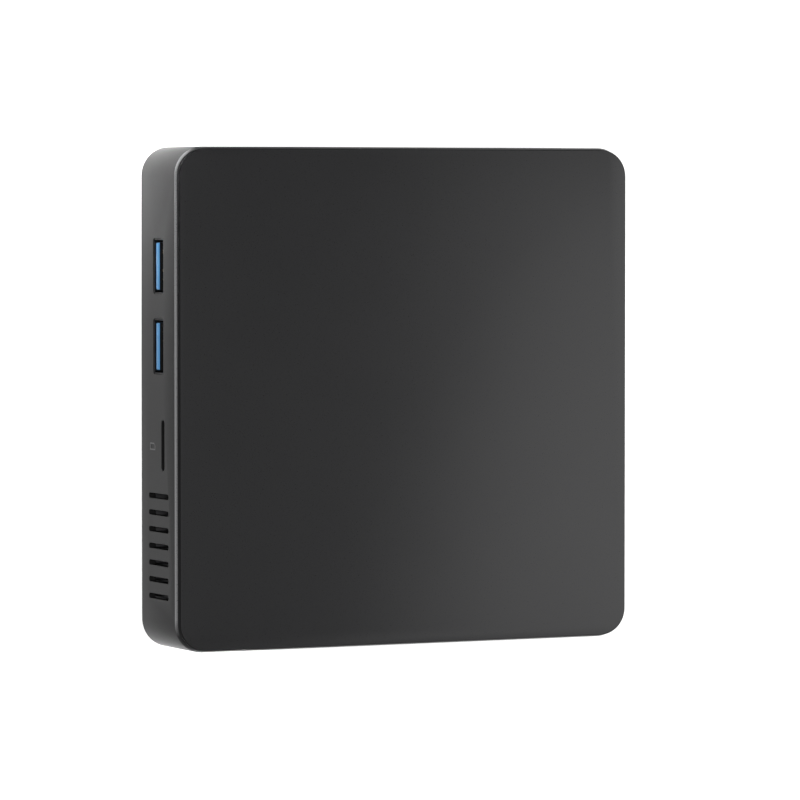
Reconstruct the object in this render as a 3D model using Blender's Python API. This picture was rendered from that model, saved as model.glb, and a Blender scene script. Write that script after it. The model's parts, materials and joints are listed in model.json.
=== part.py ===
"""A flat, square mini PC with its casing, ports, mainboard, blower and storage as separate pieces.

Lengths are in millimetres here, and turn into Blender's metres as each mesh is made. The part lies on
its four feet: +Z points up through the lid, the power button faces -Y and the video sockets face +Y.
The two blue USB sockets, the card slot and the exhaust vents are in the right wall, which faces +X.
"""

import math

import bmesh
import bpy

MM = 0.001
PAST = 1.0  # how far a cutter reaches past what it cuts
BITE = 0.2  # how far a joined shell reaches into the one it joins

# The casing
BODY = 120.0  # both sides of the square casing
BODY_HEIGHT = 22.5
FOOT_HEIGHT = 1.5  # how far the feet stand below the casing
CORNER_RADIUS = 7.5
WALL = 1.6
PLATE = 1.5  # thickness of the base
EDGE_CHAMFER = 0.5  # the bright chamfer round the frame's upper edge
BASE_CHAMFER = 0.4
BASE_RIM = 1.0  # from the outer face to the recess that takes the base
BASE_EDGE = 0.25
SEAM = 0.3  # clearance between two pieces that meet

# The lid
LID = 1.1  # thickness of the lid's plate
LID_INSET = 0.5  # how far the lid's edge is set in from the frame's outer face
LID_EDGE = 0.1
LIP_DEPTH = 2.5  # how far the lip under the lid reaches down inside the frame
LIP_WIDTH = 1.0
POST_RADIUS = 2.8
POST_BORE = 1.2
POST_ROOF = 0.8  # of the lid's plate and post left above each bore

HALF = BODY / 2
INNER = HALF - WALL
Z_BASE = FOOT_HEIGHT
Z_TOP = Z_BASE + BODY_HEIGHT
Z_LID = Z_TOP - LID  # the lid's inner face
Z_RIM = Z_LID - SEAM  # the frame's upper edge
Z_FLOOR = Z_BASE + PLATE  # the base's inner face

# The mainboard hangs its sockets from its underside
BOARD = 1.6
BOARD_LOW = Z_TOP - 8.45
BOARD_HIGH = BOARD_LOW + BOARD
UNDER_BOARD = BOARD_LOW - SEAM
OVER_BOARD = BOARD_HIGH + SEAM
BOARD_WIDTH = 114.0
BOARD_DEPTH = 113.2
BOARD_CORNER = 4.5
BOARD_HOLE = 1.4
BOARD_NOTCH = (11.0, 1.0)  # width, and depth from the board's front edge, behind the power button
BOARD_SCREWS_AT = ((50.0, -45.0), (-50.0, -45.0), (30.0, 54.2), (-50.0, 37.0))

# Screws: head radius, head height, shank radius, shank length
COVER_SCREW = (2.3, 1.2, 1.0, 9.0)
BOARD_SCREW = (2.3, 1.2, 1.0, 5.6)
COOLER_SCREW = (2.3, 1.1, 1.0, 5.0)
DRIVE_SCREW = (2.4, 1.0, 1.0, 3.0)
CROSS_WIDTH = 0.6
CROSS_DEPTH = 0.6

# Openings of the right wall, along Y
USB3_AT = (-31.6, -12.5)
CARD_AT = 11.0
CARD_Z = Z_TOP - 9.28
CARD_SLOT = (12.0, 1.8)
VENT_FIRST = 23.04
VENT_PITCH = 4.0
VENTS = 7
VENT_SLOT = (11.8, 1.5)
VENT_Z = Z_TOP - 11.88

# USB type A sockets
USB_Z = Z_TOP - 11.93
USB_SHELL = (13.1, 5.8, 0.7)  # width, height, corner radius
USB_DEPTH = 14.4
USB_SHEET = 0.3
USB_CLEAR = 0.15
USB_RECESS = 0.15
USB_TONGUE = (11.2, 2.0)
USB_TONGUE_RECESS = 0.1
USB_TONGUE_DROP = 0.94  # the tongue lies this far below the socket's middle
USB_REAR = (12.0, 4.6, 0.3)  # width, height and corner radius of the block that holds the tongue
USB_REAR_SPAN = (0.5, 3.5)  # from the shell's back

# Memory card socket
CARD_SOCKET = (14.0, 1.7, 13.6)  # width, height, depth
CARD_PATH = 11.5
CARD_FLOOR = 0.3
CARD_ROOF = 0.2
CARD_BACK = 1.5
CARRIAGE = (2.2, 10.4, 0.7)  # depth, width, height
CARRIAGE_X = 48.6
CARRIAGE_DROP = 0.8  # from the socket's top to the carriage's middle
CARRIAGE_ARM = (5.0, 1.0)  # how far it reaches forward, and its width

# Left wall
USB2_AT = (-31.6, -12.5)
AUDIO_AT = 4.0
AUDIO_Z = 11.6
AUDIO_HOLE = 3.3
AUDIO_NOSE = 2.9
AUDIO_BORE = 1.8
AUDIO_REACH = 11.0
AUDIO_BODY = (11.6, 6.2, 8.4)  # depth, width, and the height of its underside
LOCK_AT = 13.5
LOCK_SLOT = (7.0, 3.0, 0.6)

# Rear wall
NOSE_RECESS = 0.3  # of a socket's nose from the casing's outer face
NOSE_ROOT = 2.0  # how far a nose reaches into its socket's body from the wall
DC_AT = -44.0
DC_Z = 9.8
DC_HOLE = 4.3
DC_NOSE = 4.0
DC_BORE = 3.1
DC_REACH = 10.0
DC_BODY = (9.0, 45.0, 5.2)  # width, and where its back and its underside are
DC_PIN = 1.0
DC_PIN_SPAN = (0.8, 9.6)  # of the pin's ends from the nose's front
HDMI_AT = (-31.2, -14.0)
HDMI_Z = 11.8
HDMI_HOLE = (15.4, 6.0, 1.9)  # width, height, cut corner
HDMI_SHELL = (15.0, 5.6, 1.8)
HDMI_HOLLOW = (14.2, 4.8, 1.6)
HDMI_BACK = 47.6
HDMI_TONGUE = (10.9, 1.5)
HDMI_TONGUE_RECESS = 0.8
HDMI_REAR = (10.4, 4.2)
HDMI_REAR_SPAN = (0.4, 3.4)  # from the shell's back
LAN_AT = 3.4
LAN_LOW = 3.8
LAN_WIDTH = 15.9
LAN_CLEAR = 0.2
LAN_BACK = 38.6
LAN_MOUTH = (11.9, 1.8, 8.8)  # width, and the heights of its floor and roof above the socket's underside
LAN_LATCH = (6.2, 0.7, 2.4)
LAN_MOUTH_BACK = 45.6

# Power button, its switch, and the light
BUTTON_AT = 40.0
BUTTON_RADIUS = 3.4
BUTTON_CLEAR = 0.2
BUTTON_RECESS = 0.1
FLANGE_RADIUS = 4.7
FLANGE_GAP = 0.5  # from the wall's inner face to the button's origin
FLANGE_SPAN = (-0.2, 0.6)  # along Y from the origin, as are the next two
STEM_END = 1.5
PLUNGER_SPAN = (1.8, 4.2)
STEM_RADIUS = 1.2
PLUNGER_RADIUS = 1.0
SWITCH_SPAN = (2.6, 6.2)  # along Y from the button's origin
SWITCH_WIDTH = 6.0
SWITCH_LOW = 8.9
SWITCH_BORE = (1.3, 2.8)  # radius, depth
LIGHT_AT = 30.0
LIGHT_HOLE = 1.2
LIGHT_RADIUS = 0.9
LIGHT_RECESS = 0.15
LIGHT_BACK = -54.6
LIGHT_RISER = (2.2, -56.0, -53.8, 14.3)  # width, y of its two faces, and its top
FRONT_Z = VENT_Z

# Fixings of the base
BOSS_AT = 52.3
BOSS_RADIUS = 3.5
BOSS_LOW = Z_FLOOR + 1.9
BOSS_HIGH = UNDER_BOARD - 0.1
BOSS_BORE = (1.3, 13.0)  # radius, and the height it reaches
RIB = (7.2, 3.0)  # length from the boss to the wall, and width
PAD_RADIUS = 4.2
PAD_HEIGHT = 1.6
WELL = (2.6, 3.4)  # radius and height of the hole for a screw's head
SHANK_HOLE = 1.4
FOOT_AT = 44.0
FOOT_RADIUS = 6.0
FOOT_EDGE = 0.5
FOOT_SUNK = 0.4
FOOT_POCKET = 0.7
GRILLE_PITCH = 3.2
GRILLE_SLOT = 1.6
GRILLE_SLOTS = 7

# Solid state drive
DRIVE = (-40.5, 3.5, 22.0, 11.4, 12.2)  # x of its two ends, width, underside and top
DRIVE_Y = -39.0
DRIVE_CHIPS = ((-33.0, -20.0), (-16.0, -3.0))
DRIVE_CHIP = (14.0, 1.3)  # width, height
DRIVE_NOTCH = 1.8
DRIVE_SOCKET = (0.5, 7.0, 23.2, 10.7)  # x of its two faces, width, underside
DRIVE_SLOT = 4.5  # how far into the socket the drive's slot reaches
STANDOFF = (2.6, 1.3, 14.4)  # radius, bore radius, and how high the bore reaches

# Clock cell
CELL_AT = (24.0, -42.0)
CELL = (10.0, 9.7, 12.9)  # radius, underside, top
HOLDER = (11.3, 10.4, 10.0, 13.2)  # radius, well's radius, underside, and the well's roof
HOLDER_WINDOW = (4.0, -14.0, -6.0, 12.6)  # half width, its span along Y, and its top

# Radio
RADIO_CARD = (-41.0, -19.0, 5.0, 35.0, 0.8)  # x and y of its two corners, and thickness
RADIO_CAN = (-39.0, -21.0, 12.0, 32.0, 2.2)  # the same, and its top above the card's underside
AERIAL = (34.0, 7.0, 1.2)
AERIAL_AT = (-26.0, -50.0)
AERIAL_THICK = 0.4
AERIAL_LEAD = (
    (-28, 8.6, 19.2),
    (-24, 3, 19.8),
    (-10, -8, 20),
    (-6, -24, 20.2),
    (-16, -37, 20.6),
    (-26, -44, 21.3),
)
AERIAL_LEAD_WIDTH = 1.13

# Memory
MEMORY_AT = (-16.0, 2.0)
MEMORY = (12.0, 18.0, 28.0, 1.0)  # length, y of its two sides, height

# Cooler
CHIP = (-22.0, 2.0, -8.0, 16.0, 14.2)  # x and y of its two corners, and its underside
DIE = (-16.0, -4.0, -1.0, 9.0, 13.8)
COLD_PLATE = (44.0, 26.0, 2.0)
COLD_PLATE_AT = (-10.0, 4.0)
COLD_PLATE_SPAN = (12.0, 13.5)
COOLER_SCREWS_AT = ((-29.3, 13.5), (8.6, -5.4))
PIPE_WIDTH = 6.0
PIPE_THICK = 2.4
PIPE_Z = 10.5
PIPE_X = 52.5
PIPE_Y = 9.0
PIPE_START = -25.5
PIPE_BEND = 12.5
PIPE_END = 0.55  # of the pipe's section that is left at its two closed ends
PIPE_TAPER = 1.0
PIPE_STOP = 0.4  # how far the pipe stops short of the fin stack's far end
FINS = (47.8, 57.4, 20.5, 47.6, 3.8, 14.6)  # x, y and z of the fin stack's two corners
FIN_SHEET = 0.45
FIN_GAPS = 14

# Blower
FAN_AT = (29.0, 34.0)
FAN_RADIUS = 16.6
FAN_WALL = 1.0
FAN_LOW = Z_FLOOR + 0.4
FAN_HIGH = 13.2
FAN_ROOF = 0.8
FAN_COVER = 0.8
FAN_OUTLET = 47.2
FAN_THROAT = 0.62  # the outlet's lower side, as a part of the radius
OUTLET_DEPTH = 4.0
OUTLET_SPAN = (-9.3, 15.6)  # along Y from the blower's axis
INTAKE_RADIUS = 10.6
BLADES = 19
BLADE_STEPS = 4
BLADE_HALF = 0.32
BLADE_REACH = 13.4
BLADE_SWEEP = 26.0
HUB_RADIUS = 7.0
ROTOR_HALF = 3.3
ROTOR_PLATE = (11.8, 0.6)
POST = (1.3, 7.0)  # radius of the rotor's post, and its lower end
ROTOR_BORE = 1.4
ROTOR_CAP = 1.4
FAN_LEAD = ((11.6, 31, 8.2), (10.2, 30.2, 8.4), (8.9, 28.4, 9.6), (8.2, 27.2, 11), (8, 26.6, 12.2))
FAN_LEAD_WIDTH = 1.4
FAN_PLUG = (5.6, 10.4, 24.4, 28.8, 13.3)  # x and y of its two corners, and its underside

MATERIALS = {
    # name: colour, roughness, metallic
    "case_metal": ((0.045, 0.045, 0.046), 0.4, 0.9),
    "lid_plastic": ((0.02, 0.02, 0.021), 0.35, 0.0),
    "base_plastic": ((0.02, 0.02, 0.021), 0.55, 0.0),
    "foot_rubber": ((0.015, 0.015, 0.015), 0.85, 0.0),
    "steel": ((0.42, 0.42, 0.43), 0.35, 1.0),
    "dark_nickel": ((0.05, 0.05, 0.055), 0.4, 1.0),
    "socket_blue": ((0.02, 0.16, 0.36), 0.45, 0.0),
    "socket_black": ((0.012, 0.012, 0.013), 0.5, 0.0),
    "light_pipe": ((0.8, 0.83, 0.86), 0.2, 0.0),
    "board_green": ((0.01, 0.07, 0.035), 0.45, 0.0),
    "chip_black": ((0.02, 0.02, 0.022), 0.5, 0.0),
    "copper": ((0.78, 0.34, 0.18), 0.3, 1.0),
    "fin_aluminium": ((0.62, 0.63, 0.65), 0.32, 1.0),
    "cell_steel": ((0.68, 0.68, 0.66), 0.28, 1.0),
    "antenna_film": ((0.55, 0.26, 0.06), 0.5, 0.0),
    "lead_black": ((0.02, 0.02, 0.02), 0.6, 0.0),
}


def clear_scene():
    for obj in list(bpy.data.objects):
        bpy.data.objects.remove(obj)


# Outlines: lists of (u, v) points round a middle at (0, 0)


def arc(centre, radius, start, end, steps):
    """Points on an arc, both ends included, with its angles in degrees."""
    turns = [math.radians(start + (end - start) * k / steps) for k in range(steps + 1)]
    return [(centre[0] + radius * math.cos(t), centre[1] + radius * math.sin(t)) for t in turns]


def polar(radius, degrees):
    angle = math.radians(degrees)
    return (radius * math.cos(angle), radius * math.sin(angle))


def disc(radius, steps=24):
    return arc((0, 0), radius, 0, 360 - 360 / steps, steps - 1)


def rounded(width, height, radius, steps=6):
    """A rectangle with round corners."""
    u, v = width / 2 - radius, height / 2 - radius
    corners = ((u, v), (-u, v), (-u, -v), (u, -v))
    return [p for k, c in enumerate(corners) for p in arc(c, radius, 90 * k, 90 * k + 90, steps)]


def rectangle(width, height):
    u, v = width / 2, height / 2
    return [(u, v), (-u, v), (-u, -v), (u, -v)]


def stadium(length, width, along_u=True):
    """A slot with round ends."""
    size = (length, width) if along_u else (width, length)
    return rounded(*size, width / 2 - 0.001, 3)


def cross(length, width):
    """A screwdriver's cross."""
    a, b = length / 2, width / 2
    quarter = [(a, b), (b, b), (b, a)]
    outline = []
    for _ in range(4):
        outline += quarter
        quarter = [(-v, u) for u, v in quarter]
    return outline


def video_socket(width, height, cut):
    """A video socket's outline, whose upper corners are cut off at a slant."""
    u, v = width / 2, height / 2
    return [(u - cut, v), (-u + cut, v), (-u, v - cut), (-u, -v), (u, -v), (u, v - cut)]


def casing_loop(inset, z, steps=8):
    """The casing's outline at a height, set in from its outer face."""
    side = BODY - 2 * inset
    return [(x, y, z) for x, y in rounded(side, side, CORNER_RADIUS - inset, steps)]


def corner_points(distance):
    return [(x * distance, y * distance) for x in (1, -1) for y in (1, -1)]


# Shells: (points, faces) of closed surfaces


def loft(loops, ring=False):
    """A skin over loops of equally many points: capped at both ends, or closed into a ring."""
    count = len(loops[0])
    points = [point for loop in loops for point in loop]
    faces = []
    for i in range(len(loops) if ring else len(loops) - 1):
        low, high = i * count, (i + 1) % len(loops) * count
        for k in range(count):
            following = (k + 1) % count
            faces.append((low + k, low + following, high + following, high + k))
    if not ring:
        faces.append(tuple(range(count)))
        faces.append(tuple(range(len(points) - count, len(points))))
    return points, faces


def bar(outline, low, high, axis="Z", at=(0.0, 0.0)):
    """The outline, moved by at in its own plane, from low to high along the axis."""
    order = {"X": lambda u, v, w: (w, u, v), "Y": lambda u, v, w: (u, w, v), "Z": lambda u, v, w: (u, v, w)}
    place = order[axis]
    return loft([[place(u + at[0], v + at[1], w) for u, v in outline] for w in (low, high)])


def block(x0, x1, y0, y1, z0, z1):
    middle = ((x0 + x1) / 2, (y0 + y1) / 2)
    return bar(rectangle(x1 - x0, y1 - y0), z0, z1, "Z", middle)


# Objects


def make_material(name):
    colour, roughness, metallic = MATERIALS[name]
    material = bpy.data.materials.new(name)
    material.use_nodes = True
    shader = material.node_tree.nodes["Principled BSDF"]
    shader.inputs["Base Color"].default_value = (*colour, 1.0)
    shader.inputs["Roughness"].default_value = roughness
    shader.inputs["Metallic"].default_value = metallic
    return material


def make_group(name):
    empty = bpy.data.objects.new(name, None)
    bpy.context.scene.collection.objects.link(empty)
    return empty


def make_object(name, shell, at):
    points, faces = shell
    mesh = bpy.data.meshes.new(name)
    mesh.from_pydata([tuple(c * MM for c in p) for p in points], [], faces)
    shape = bmesh.new()
    shape.from_mesh(mesh)
    bmesh.ops.recalc_face_normals(shape, faces=shape.faces)
    shape.to_mesh(mesh)
    shape.free()
    obj = bpy.data.objects.new(name, mesh)
    obj.location = [c * MM for c in at]
    bpy.context.scene.collection.objects.link(obj)
    return obj


def combine(obj, shell, operation):
    """Joins a shell to the object, or cuts it away, for good."""
    tool = make_object("tool", shell, [c / MM for c in obj.location])
    modifier = obj.modifiers.new(operation, "BOOLEAN")
    modifier.operation = operation
    modifier.object = tool
    bpy.context.view_layer.objects.active = obj
    bpy.ops.object.modifier_apply(modifier=modifier.name)
    bpy.data.meshes.remove(tool.data)


def piece(name, group, material, shell, joined=(), cut=(), at=(0.0, 0.0, 0.0)):
    """One physical piece: a shell with others joined to it, and then others cut out of it."""
    obj = make_object(name, shell, at)
    for other in joined:
        combine(obj, other, "UNION")
    for other in cut:
        combine(obj, other, "DIFFERENCE")
    obj.data.shade_smooth()
    obj.data.set_sharp_from_angle(angle=math.radians(30))
    obj.data.materials.append(bpy.data.materials[material])
    obj.parent = group
    return obj


def screw(name, group, at, size):
    """A screw whose shank points up, and whose head's inner face is at the given place."""
    head_radius, head_height, shank_radius, length = size
    head = bar(disc(head_radius, 20), -head_height, 0)
    shank = bar(disc(shank_radius, 12), -2 * BITE, length)
    drive = bar(cross(head_radius * 1.1, CROSS_WIDTH), -head_height - PAST, -head_height + CROSS_DEPTH)
    piece(name, group, "steel", head, [shank], [drive], at)


def smooth_route(route, count):
    """Evenly many points on a Catmull-Rom curve through the route's points."""
    ends = [[2 * a - b for a, b in zip(route[i], route[j])] for i, j in ((0, 1), (-1, -2))]
    knots = [ends[0], *route, ends[1]]
    points = []
    for n in range(count):
        s = n / (count - 1) * (len(route) - 1)
        i = min(int(s), len(route) - 2)
        t = s - i
        weights = (
            (-t + 2 * t**2 - t**3) / 2,
            (2 - 5 * t**2 + 3 * t**3) / 2,
            (t + 4 * t**2 - 3 * t**3) / 2,
            (t**3 - t**2) / 2,
        )
        points.append([sum(w * knots[i + k][c] for k, w in enumerate(weights)) for c in range(3)])
    return points


def lead(name, group, route, width, count):
    """An insulated lead along a smooth route, as a bevelled curve."""
    curve = bpy.data.curves.new(name, "CURVE")
    curve.dimensions = "3D"
    curve.bevel_depth = width / 2 * MM
    curve.bevel_resolution = 2
    curve.use_fill_caps = True
    spline = curve.splines.new("POLY")
    spline.points.add(count - 1)
    for point, place in zip(spline.points, smooth_route(route, count)):
        point.co = (*(c * MM for c in place), 1)
    curve.materials.append(bpy.data.materials["lead_black"])
    obj = bpy.data.objects.new(name, curve)
    bpy.context.scene.collection.objects.link(obj)
    obj.parent = group


# The casing


def side_cut(outline, side, at):
    """A cut through the left (-1) or right (1) wall."""
    return bar(outline, side * (INNER - PAST), side * (HALF + PAST), "X", at)


def end_cut(outline, side, at):
    """A cut through the front (-1) or rear (1) wall."""
    return bar(outline, side * (INNER - PAST), side * (HALF + PAST), "Y", at)


def usb_cut(side, y):
    width, height, radius = USB_SHELL
    outline = rounded(width + 2 * USB_CLEAR, height + 2 * USB_CLEAR, radius + USB_CLEAR, 3)
    return side_cut(outline, side, (y, USB_Z))


def vent_cuts(side):
    slot = stadium(*VENT_SLOT, along_u=False)
    return [side_cut(slot, side, (VENT_FIRST + k * VENT_PITCH, VENT_Z)) for k in range(VENTS)]


def socket_cuts():
    """The cuts for every socket, slot and control in the four walls."""
    cuts = [usb_cut(1, y) for y in USB3_AT] + [usb_cut(-1, y) for y in USB2_AT]
    cuts.append(side_cut(stadium(*CARD_SLOT), 1, (CARD_AT, CARD_Z)))
    cuts.append(side_cut(disc(AUDIO_HOLE), -1, (AUDIO_AT, AUDIO_Z)))
    cuts.append(side_cut(rounded(*LOCK_SLOT, 2), -1, (LOCK_AT, AUDIO_Z)))
    cuts.append(end_cut(disc(DC_HOLE), 1, (DC_AT, DC_Z)))
    cuts += [end_cut(video_socket(*HDMI_HOLE), 1, (x, HDMI_Z)) for x in HDMI_AT]
    height = UNDER_BOARD - LAN_LOW
    lan = rectangle(LAN_WIDTH + 2 * LAN_CLEAR, height + 2 * LAN_CLEAR)
    cuts.append(end_cut(lan, 1, (LAN_AT, LAN_LOW + height / 2)))
    cuts.append(end_cut(disc(BUTTON_RADIUS + BUTTON_CLEAR), -1, (BUTTON_AT, FRONT_Z)))
    cuts.append(end_cut(disc(LIGHT_HOLE, 16), -1, (LIGHT_AT, FRONT_Z)))
    return cuts


def corner_boss(x, y):
    """A screw boss in a corner, and the rib that ties it to the wall."""
    length, width = RIB
    angle = math.atan2(y, x)
    along, across = (math.cos(angle), math.sin(angle)), (-math.sin(angle), math.cos(angle))
    sides = ((0, width / 2), (0, -width / 2), (length, -width / 2), (length, width / 2))
    rib = [(x + s * along[0] + t * across[0], y + s * along[1] + t * across[1]) for s, t in sides]
    boss = bar(disc(BOSS_RADIUS, 20), BOSS_LOW, BOSS_HIGH, "Z", (x, y))
    return [boss, bar(rib, BOSS_LOW + BITE, BOSS_HIGH - BITE)]


def make_side_frame(group):
    profile = (
        (BASE_CHAMFER, Z_BASE),
        (0, Z_BASE + BASE_CHAMFER),
        (0, Z_RIM - EDGE_CHAMFER),
        (EDGE_CHAMFER, Z_RIM),
        (WALL, Z_RIM),
        (WALL, Z_FLOOR + SEAM),
        (BASE_RIM, Z_FLOOR + SEAM),
        (BASE_RIM, Z_BASE),
    )
    wall = loft([casing_loop(inset, z) for inset, z in profile], ring=True)
    bosses = [shell for x, y in corner_points(BOSS_AT) for shell in corner_boss(x, y)]
    radius, reach = BOSS_BORE
    bores = [bar(disc(radius, 16), Z_FLOOR, reach, "Z", at) for at in corner_points(BOSS_AT)]
    cuts = socket_cuts() + vent_cuts(1) + vent_cuts(-1) + bores
    piece("side_frame", group, "case_metal", wall, bosses, cuts)


def make_top_cover(group):
    """The lid: a plate over the frame's edge, a lip inside the frame, and posts down to the board."""
    levels = ((LID_INSET, Z_LID), (LID_INSET, Z_TOP - LID_EDGE), (LID_INSET + LID_EDGE, Z_TOP))
    plate = loft([casing_loop(inset, z) for inset, z in levels])
    outer, low, high = WALL + SEAM, Z_LID - LIP_DEPTH, Z_LID + BITE
    corners = ((outer, low), (outer, high), (outer + LIP_WIDTH, high), (outer + LIP_WIDTH, low))
    lip = loft([casing_loop(inset, z, 4) for inset, z in corners], ring=True)
    posts = [bar(disc(POST_RADIUS, 20), OVER_BOARD, high, "Z", at) for at in BOARD_SCREWS_AT]
    span = (OVER_BOARD - PAST, Z_LID - POST_ROOF)
    bores = [bar(disc(POST_BORE, 12), *span, "Z", at) for at in BOARD_SCREWS_AT]
    piece("top_cover", group, "lid_plastic", plate, [lip, *posts], bores)


def grille(x, y):
    """Slots side by side inside a circle."""
    slots = []
    for k in range(GRILLE_SLOTS):
        offset = (k - (GRILLE_SLOTS - 1) / 2) * GRILLE_PITCH
        length = 2 * math.sqrt(INTAKE_RADIUS**2 - offset**2)
        slots.append(bar(stadium(length, GRILLE_SLOT), 0, Z_FLOOR + PAST, "Z", (x, y + offset)))
    return slots


def make_bottom_cover(group):
    """The base: a plate in the frame's lower recess, with pads for its screws and pockets for its feet."""
    inset = BASE_RIM + SEAM
    levels = ((inset + BASE_EDGE, Z_BASE), (inset, Z_BASE + BASE_EDGE), (inset, Z_FLOOR))
    plate = loft([casing_loop(inset, z) for inset, z in levels])
    corners = corner_points(BOSS_AT)
    well_radius, well_height = WELL
    pads = [bar(disc(PAD_RADIUS, 20), Z_FLOOR - 2 * BITE, Z_FLOOR + PAD_HEIGHT, "Z", at) for at in corners]
    cuts = [bar(disc(well_radius, 20), 0, well_height, "Z", at) for at in corners]
    cuts += [bar(disc(SHANK_HOLE, 12), Z_FLOOR, Z_FLOOR + PAD_HEIGHT + PAST, "Z", at) for at in corners]
    pocket = disc(FOOT_RADIUS + SEAM)
    cuts += [bar(pocket, 0, Z_BASE + FOOT_POCKET, "Z", at) for at in corner_points(FOOT_AT)]
    cuts += grille(*FAN_AT) + grille(-FAN_AT[0], FAN_AT[1])
    piece("bottom_cover", group, "base_plastic", plate, pads, cuts)


def make_feet(group):
    low, high = disc(FOOT_RADIUS - FOOT_EDGE), disc(FOOT_RADIUS)
    levels = ((low, 0.0), (high, FOOT_EDGE), (high, FOOT_HEIGHT + FOOT_SUNK))
    for y, row in ((-1, "front"), (1, "rear")):
        for x, side in ((1, "right"), (-1, "left")):
            shell = loft([[(u, v, z) for u, v in outline] for outline, z in levels])
            piece(f"foot_{row}_{side}", group, "foot_rubber", shell, at=(x * FOOT_AT, y * FOOT_AT, 0))


def make_cover_screws(group):
    for k, (x, y) in enumerate(corner_points(BOSS_AT), 1):
        screw(f"cover_screw_{k}", group, (x, y, WELL[1] - SEAM), COVER_SCREW)


# Sockets


def usb_socket(name, group, side, y, tongue_material):
    """A USB type A socket in the left (-1) or right (1) wall: its sheet shell and its tongue."""
    width, height, radius = USB_SHELL
    front = side * (HALF - USB_RECESS)
    back = front - side * USB_DEPTH
    at = (y, USB_Z)
    outer = bar(rounded(width, height, radius, 3), back, front, "X", at)
    inside = rounded(width - 2 * USB_SHEET, height - 2 * USB_SHEET, radius - USB_SHEET, 3)
    hollow = bar(inside, back - side * PAST, front + side * PAST, "X", at)
    piece(f"{name}_shell", group, "dark_nickel", outer, cut=[hollow])
    start, end = (back + side * reach for reach in USB_REAR_SPAN)
    rear = bar(rounded(*USB_REAR, 2), start, end, "X", at)
    tongue_at = (y, USB_Z - USB_TONGUE_DROP)
    tongue = bar(rectangle(*USB_TONGUE), end - side * BITE, front - side * USB_TONGUE_RECESS, "X", tongue_at)
    piece(f"{name}_tongue", group, tongue_material, rear, [tongue])


def make_card_socket(group):
    """The memory card socket, and the carriage in it that a card pushes in to be let out again."""
    width, height, depth = CARD_SOCKET
    high, x1 = UNDER_BOARD, INNER - SEAM
    low, x0 = high - height, x1 - depth
    body = block(x0, x1, CARD_AT - width / 2, CARD_AT + width / 2, low, high)
    left, right = CARD_AT - CARD_PATH / 2, CARD_AT + CARD_PATH / 2
    hollow = block(x0 + CARD_BACK, x1 + PAST, left, right, low + CARD_FLOOR, high - CARD_ROOF)
    piece("card_socket", group, "steel", body, cut=[hollow])
    x, y, z = (size / 2 for size in CARRIAGE)
    reach, thick = CARRIAGE_ARM
    arm = block(-x, reach, y - thick, y, -z, z)
    at = (CARRIAGE_X, CARD_AT, UNDER_BOARD - CARRIAGE_DROP)
    piece("card_carriage", group, "socket_black", block(-x, x, -y, y, -z, z), [arm], at=at)


def make_audio_jack(group):
    front = -(HALF - NOSE_RECESS)
    depth, width, low = AUDIO_BODY
    at = (AUDIO_AT, AUDIO_Z)
    x = -INNER + SEAM
    body = block(x, x + depth, AUDIO_AT - width / 2, AUDIO_AT + width / 2, low, UNDER_BOARD)
    nose = bar(disc(AUDIO_NOSE), front, -INNER + NOSE_ROOT, "X", at)
    bore = bar(disc(AUDIO_BORE, 20), front - PAST, front + AUDIO_REACH, "X", at)
    piece("audio_jack", group, "socket_black", body, [nose], [bore])


def make_power_inlet(group):
    """The round DC inlet and the pin in its middle."""
    front = HALF - NOSE_RECESS
    width, back, low = DC_BODY
    at = (DC_AT, DC_Z)
    body = block(DC_AT - width / 2, DC_AT + width / 2, back, INNER - SEAM, low, UNDER_BOARD)
    nose = bar(disc(DC_NOSE), INNER - NOSE_ROOT, front, "Y", at)
    bore = bar(disc(DC_BORE), front - DC_REACH, front + PAST, "Y", at)
    piece("power_inlet", group, "socket_black", body, [nose], [bore])
    tip, root = DC_PIN_SPAN
    piece("power_inlet_pin", group, "steel", bar(disc(DC_PIN, 16), front - root, front - tip, "Y", at))


def hdmi_socket(name, group, x):
    front = HALF - NOSE_RECESS
    at = (x, HDMI_Z)
    outer = bar(video_socket(*HDMI_SHELL), HDMI_BACK, front, "Y", at)
    hollow = bar(video_socket(*HDMI_HOLLOW), HDMI_BACK - PAST, front + PAST, "Y", at)
    piece(f"{name}_shell", group, "steel", outer, cut=[hollow])
    start, end = (HDMI_BACK + reach for reach in HDMI_REAR_SPAN)
    rear = bar(rectangle(*HDMI_REAR), start, end, "Y", at)
    tongue = bar(rectangle(*HDMI_TONGUE), end - BITE, front - HDMI_TONGUE_RECESS, "Y", at)
    piece(f"{name}_tongue", group, "socket_black", rear, [tongue])


def make_lan_socket(group):
    front = HALF - NOSE_RECESS
    body = block(LAN_AT - LAN_WIDTH / 2, LAN_AT + LAN_WIDTH / 2, LAN_BACK, front, LAN_LOW, UNDER_BOARD)
    cuts = []
    for width, floor, roof in (LAN_MOUTH, LAN_LATCH):
        x0, x1 = LAN_AT - width / 2, LAN_AT + width / 2
        cuts.append(block(x0, x1, LAN_MOUTH_BACK, front + PAST, LAN_LOW + floor, LAN_LOW + roof))
    piece("lan_socket", group, "steel", body, cut=cuts)


# Power button and light


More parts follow.
